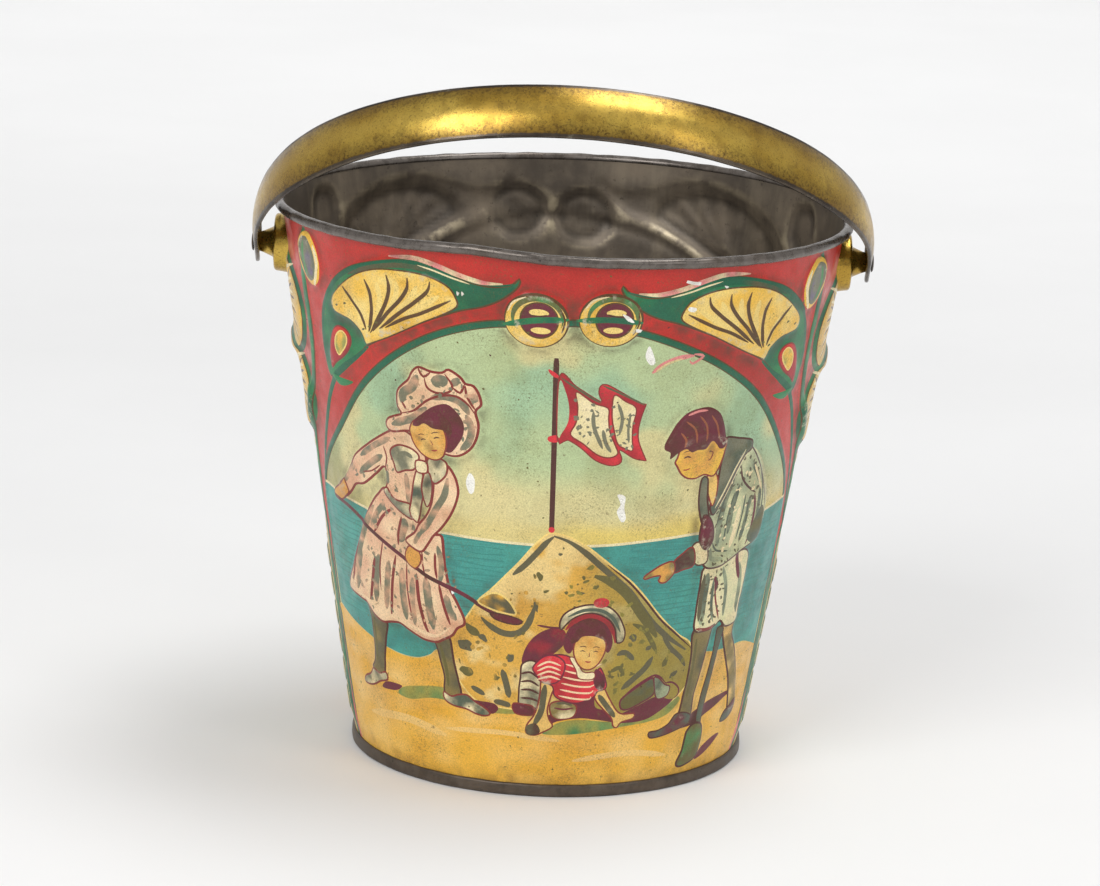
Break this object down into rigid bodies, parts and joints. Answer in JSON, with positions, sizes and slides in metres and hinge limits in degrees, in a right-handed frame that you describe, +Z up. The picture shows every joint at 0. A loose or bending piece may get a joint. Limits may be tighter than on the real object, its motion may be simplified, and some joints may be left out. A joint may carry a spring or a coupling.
{
  "type": "sand bucket",
  "caption": "Tapered tinplate sand bucket with a wired rim, a seamed base and a lacquered strip handle that swings on two riveted side ears.",
  "frame": {"origin": "centre of the base at ground level, on the bucket's axis", "axes": "+Z up along the bucket's axis, +X along the handle's pivot axis towards the right ear, -Y towards the front panel"},
  "size_m": [0.1614, 0.15, 0.1844],
  "materials": {
    "printed_tin": "varnished lithographed tinplate, worn",
    "bare_tin": "dulled bare tinplate",
    "gold_lacquer": "speckled gold lacquer on tinplate",
    "wire": "drawn iron wire",
    "rivet": "dull peened iron"
  },
  "bodies": {
    "bucket": {"body_front": "printed_tin", "body_back": "printed_tin", "rim_wire": "wire", "base_pan": "bare_tin", "ear_left": "gold_lacquer", "ear_right": "gold_lacquer", "pivot_rivet_left": "rivet", "pivot_rivet_right": "rivet", "rivet_burr_left": "rivet", "rivet_burr_right": "rivet"},
    "handle": {"handle": "gold_lacquer"}
  },
  "joints": [
    {"name": "handle_swing", "type": "hinge", "parent": "bucket", "child": "handle", "pos_m": [0, 0, 0.1315], "axis": [1, 0, 0], "range_deg": [-170, 63]}
  ]
}
